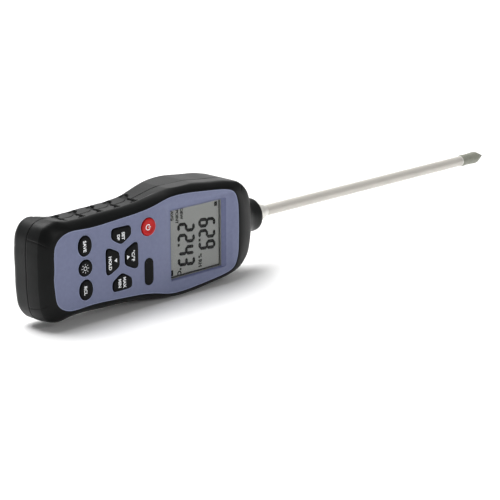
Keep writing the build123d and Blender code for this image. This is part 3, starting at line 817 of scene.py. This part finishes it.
def legends():
    """Words and signs on the keys."""
    words = [
        ("legend_save", "SAVE", 36.5, 14.4, 3.3, "key_save"),
        ("legend_recall", "RCL", 36.2, -14.4, 3.3, "key_recall"),
        ("legend_hold", "HOLD", 56.7, -0.8, 3.3, "key_hold"),
        ("legend_unit", "°C/°F", 76.0, 0.4, 3.3, "key_unit"),
        ("legend_set", "SET", 68.0, 15.2, 3.3, "key_set"),
        ("legend_dew", "DP", 64.0, 15.0, 3.0, "key_set"),
        ("legend_max", "MAX", 68.2, -15.8, 3.3, "key_max_min"),
        ("legend_min", "MIN", 64.2, -15.8, 3.3, "key_max_min"),
    ]
    for name, text, s, w, size, key in words:
        lettering(name, text, s, w, size, key_top(key) - 0.01, key)
    on_key("legend_down", "key_hold", [triangle(61.4, 0.2, 2.3, -1)])
    on_key("legend_up", "key_unit", [triangle(72.0, 0.3, 2.3, 1)])
    sun = [arc_band(36.6, 0, 1.2, 0.35, a, a + 180) for a in (0, 180)]
    sun += [bar(36.6, 0, 0.8, 0.34, 45 * k, start=2.2) for k in range(8)]
    on_key("legend_light", "key_backlight", sun)
    power = [arc_band(89.5, 16.7, 1.75, 0.6, 35, 325, 40), bar(89.5, 16.7, 2.0, 0.6, 0, start=0.3)]
    on_key("legend_power", "key_power", power)


# ---- display ----
SEGMENTS = {"2": "abged", "3": "abgcd", "4": "fgbc", "6": "afgedc", "9": "abcdfg"}
DIGIT_TALL = 15.8
DIGIT_WIDE = 6.7
STROKE = 2.3
SLANT = 0.10
LCD_TOP = to_drawing(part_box("lcd_glass")[0])[2]


def segment(centre_u, centre_v, long, upright):
    """Six-sided bar of a digit, in reading coordinates (u to the right, v up)."""
    half, tip = long / 2 + 0.05, STROKE / 2
    points = [
        (-half, 0), (-half + tip, tip), (half - tip, tip),
        (half, 0), (half - tip, -tip), (-half + tip, -tip),
    ]
    if upright:
        points = [(v, u) for u, v in points]
    return [(centre_u + u, centre_v + v) for u, v in points]


def digit(character, s, w):
    """Outlines of the lit bars of a seven-segment digit."""
    tall, wide = DIGIT_TALL - STROKE, DIGIT_WIDE - STROKE
    bars = {
        "a": (0, tall / 2, wide, False), "d": (0, -tall / 2, wide, False), "g": (0, 0, wide, False),
        "b": (wide / 2, tall / 4, tall / 2, True), "c": (wide / 2, -tall / 4, tall / 2, True),
        "f": (-wide / 2, tall / 4, tall / 2, True), "e": (-wide / 2, -tall / 4, tall / 2, True),
    }
    return [on_face(segment(*bars[name]), s, w) for name in SEGMENTS[character]]


def on_face(points, s, w):
    """Reading coordinates to the face, leaning with the digits."""
    return [(s + v, w - u - v * SLANT) for u, v in points]


def square(s, w, size):
    """Outline of a decimal point."""
    half = size / 2
    return [(s - half, w - half), (s - half, w + half), (s + half, w + half), (s + half, w - half)]


def readings():
    """Digits, small marks and unit words shown on the display."""
    outlines = []
    rows = [("629", 145.9, (8.6, 0.8, -7.0)), ("2243", 126.8, (8.8, 1.2, -7.1, -14.7))]
    for text, s, places in rows:
        for character, w in zip(text, places):
            outlines += digit(character, s, w)
    outlines += [square(139.0, -2.6, 1.8), square(119.9, -2.4, 1.8)]
    outlines += [
        [(152.9, 18.6), (155.6, 18.6), (155.6, 21.6), (152.9, 21.6)],
        [(112.6, -22.6), (114.6, -22.6), (114.6, -18.6), (112.6, -18.6)],
    ]
    plates("lcd_digits", outlines, INK, LCD_TOP - 0.02, LCD_TOP + 0.05, slot="capsule_black")
    small = [
        ("% RH", 139.2, -16.9, 4.1), ("°C", 120.0, -20.8, 4.6), ("DEW", 122.6, 18.9, 3.3),
        ("POINT", 118.5, 17.6, 3.3), ("AVG", 114.1, 18.9, 3.3),
    ]
    for index, (text, s, w, size) in enumerate(small):
        lettering(
            f"lcd_mark_{index}", text, s, w, size, LCD_TOP + 0.02, material=INK,
            bold=0.05,
        )


# ---- probe ----
COLLAR_COLUMNS = 128
COLLAR_RINGS = [
    (183.0, 19.0, 16.5, 2.8), (187.5, 18.4, 16.0, 2.7), (190.0, 17.2, 15.3, 2.5),
    (192.0, 15.6, 14.4, 2.3), (194.5, 13.9, 13.2, 2.1), (197.5, 12.6, 12.3, 2.0),
    (200.5, 12.0, 12.0, 2.0), (204.6, 12.0, 12.0, 2.0), (205.8, 11.7, 11.7, 2.0),
    (206.3, 11.1, 11.1, 2.0), (COLLAR_END, 10.2, 10.2, 2.0), (COLLAR_END, 5.4, 5.4, 2.0),
    (206.1, 4.5, 4.5, 2.0), (205.0, 4.15, 4.15, 2.0), (186.0, 4.15, 4.15, 2.0),
    (183.0, 8.0, 8.0, 2.0),
]


def collar():
    """Moulded boss that flares out of the head end and holds the probe tube."""
    rings = resample(hermite(COLLAR_RINGS, True, 10), 110, True)
    angles = np.arange(COLLAR_COLUMNS) * math.tau / COLLAR_COLUMNS
    cos, sin = np.cos(angles), np.sin(angles)
    rows = []
    for s, half_w, half_h, power in rings:
        reach = (np.abs(cos) ** power + np.abs(sin) ** power) ** (-1 / power)
        station = np.full(COLLAR_COLUMNS, min(s, COLLAR_END))
        rows.append(np.column_stack([station, half_w * reach * cos, AXIS_H + half_h * reach * sin]))
    obj = skin("collar_boss", rows, RUBBER, wrap=True, slot="collar_black")
    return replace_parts(obj, "probe_collar")


def tube_flare():
    """Flared ferrule where the tube leaves the boss, in bright steel that is partly its own colour
    and partly painted highlight.
    """
    profile = [
        (206.45, TUBE_CLEAR_R), (206.45, 6.3), (206.8, 6.5), (211.5, 6.45), (214.0, 6.2),
        (215.6, 5.8), (216.9, 5.15), (218.1, 4.6), (219.1, 4.3), (219.8, 4.12),
        (219.9, TUBE_CLEAR_R),
    ]
    turned("tube_flare", profile, FERRULE_STEEL_AND_HIGHLIGHT, sharp=50)


def seal_ring():
    """Sealing ring between the tube and the shoulder inside the cap, in a light grey that is
    painted highlight.
    """
    profile = [
        (453.05, CAP_BORE_R), (453.05, 3.8), (453.3, 3.98), (453.8, 3.98), (454.05, 3.8),
        (454.05, CAP_BORE_R),
    ]
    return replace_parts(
        turned("seal_ring", profile, SEAL_HIGHLIGHT, body="cap_ring", slot="seal_rubber"), "cap_seal")


def tube_lip():
    """Bright rolled lip on the tube where the cap begins; its brightness is partly painted
    highlight.
    """
    profile = [
        (448.7, TUBE_CLEAR_R), (448.7, 4.06), (449.1, 4.16), (449.7, 4.18), (449.9, 4.12),
        (449.9, TUBE_CLEAR_R),
    ]
    turned("tube_lip", profile, FERRULE_STEEL_AND_HIGHLIGHT)


def grains(s, radius, angles):
    """Granular surface of the sintered metal."""
    heights = []
    for angle in angles:
        spot = Vector((s, radius * math.cos(angle), radius * math.sin(angle)))
        heights.append(noise.noise(spot * 2.6) * 0.03 + noise.noise(spot * 5.5) * 0.02)
    return np.array(heights) * min(1.0, radius / 1.5) * step(CAP_START, CAP_START + 1.5, s)


def cap():
    """Pointed sintered cap over the sensor."""
    flank = [(CAP_START, 4.14), (450.2, 4.24), (457, 4.42), (465, 4.7), (469.0, 4.8), (470.2, 4.55)]
    outside = hermite(flank, False, 10)
    cone_s, cone_r = flank[-1]
    cone = [
        (cone_s + 9.0 * k / CONE_STEPS, cone_r - 3.95 * k / CONE_STEPS)
        for k in range(1, CONE_STEPS + 1)
    ]
    tip = [(479.55, 0.42), (479.8, 0.28), (479.95, 0.12), (LENGTH, 0.01)]
    side = resample(np.vstack([outside, cone]), 120, False)
    bore = [
        (468.5, 0.01), (468.5, CAP_BORE_R), (454.2, CAP_BORE_R), (454.2, CAP_MOUTH_R),
        (CAP_START, CAP_MOUTH_R),
    ]
    profile = [tuple(point) for point in side] + tip + bore
    inside = {(round(s, 3), round(r, 3)) for s, r in bore}

    def wave(s, radius, angles):
        return 0 if (round(s, 3), round(radius, 3)) in inside else grains(s, radius, angles)

    obj = turned("filter_tip", profile, SINTER, count=120, wave=wave, body="cap",
                 slot="sintered_metal", sharp=50)
    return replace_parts(obj, "filter_cap")


# ---- studio ----
FLOOR_REACH = 6.0
SKY_STRENGTH = 0.21
SUN_DIRECTION = (0.06, -0.30, -1.0)
SUN_STRENGTH = 2.7
SUN_SPREAD = 48
SOFT_BOXES = [
    ("top_box", (-0.2, 0.5, 0.9), 0.9, 7),
    ("back_box", (1.2, 1.3, 0.65), 1.2, 5),
    ("front_box", (0.1, -1.8, 0.9), 0.8, 8),
]
SOFT_BOX_TARGET = (-0.12, 0, 0.04)
CAMERA_PLACE = (-0.7685, -0.7301, 0.3083)
CAMERA_DIRECTION = (0.6811, 0.6781, -0.2761)
CAMERA_LENS = 108


def studio():
    """Plain white floor under a pale sky, with a soft sun and three soft boxes."""
    floor_mesh = bpy.data.meshes.new("studio_floor")
    reach = FLOOR_REACH
    floor_mesh.from_pydata(
        [(-reach, -reach, 0), (reach, -reach, 0), (reach, reach, 0), (-reach, reach, 0)],
        [], [(0, 1, 2, 3)])
    floor = bpy.data.objects.new("studio_floor", floor_mesh)
    bpy.context.scene.collection.objects.link(floor)
    floor_white = surface("floor_white", *tones("fafafa", 0.01), 0.8, grain=40, bump=0.0)
    floor_mesh.materials.append(floor_white)
    world = bpy.data.worlds.new("studio")
    world.use_nodes = True
    background = world.node_tree.nodes["Background"]
    background.inputs["Color"].default_value = (1, 1, 1, 1)
    background.inputs["Strength"].default_value = SKY_STRENGTH
    bpy.context.scene.world = world
    bpy.context.scene.view_settings.view_transform = "Standard"
    sun = bpy.data.lights.new("soft_sky", "SUN")
    sun.energy = SUN_STRENGTH
    sun.angle = math.radians(SUN_SPREAD)
    lamp = bpy.data.objects.new("soft_sky", sun)
    lamp.rotation_euler = Vector(SUN_DIRECTION).to_track_quat("-Z", "Y").to_euler()
    bpy.context.scene.collection.objects.link(lamp)
    for name, place, size, power in SOFT_BOXES:
        data = bpy.data.lights.new(name, "AREA")
        data.size = size
        data.energy = power
        lamp = bpy.data.objects.new(name, data)
        lamp.location = place
        aim = Vector(SOFT_BOX_TARGET) - lamp.location
        lamp.rotation_euler = aim.to_track_quat("-Z", "Y").to_euler()
        bpy.context.scene.collection.objects.link(lamp)


def camera():
    """Long lens from the near end and above the face, as in the photo."""
    data = bpy.data.cameras.new("camera")
    data.lens = CAMERA_LENS
    data.sensor_width = 36
    data.clip_start = 0.01
    obj = bpy.data.objects.new("camera", data)
    obj.location = CAMERA_PLACE
    obj.rotation_euler = Vector(CAMERA_DIRECTION).to_track_quat("-Z", "Y").to_euler()
    bpy.context.scene.collection.objects.link(obj)
    bpy.context.scene.camera = obj


front_case()
back_case()
screw_wells()
face_plate()
panel_rim_highlight()
key_rings()
display_well()
for key in KEYS:
    key_cap(key)
legends()
readings()
collar()
tube_flare()
tube_lip()
seal_ring()
cap()
studio()
camera()
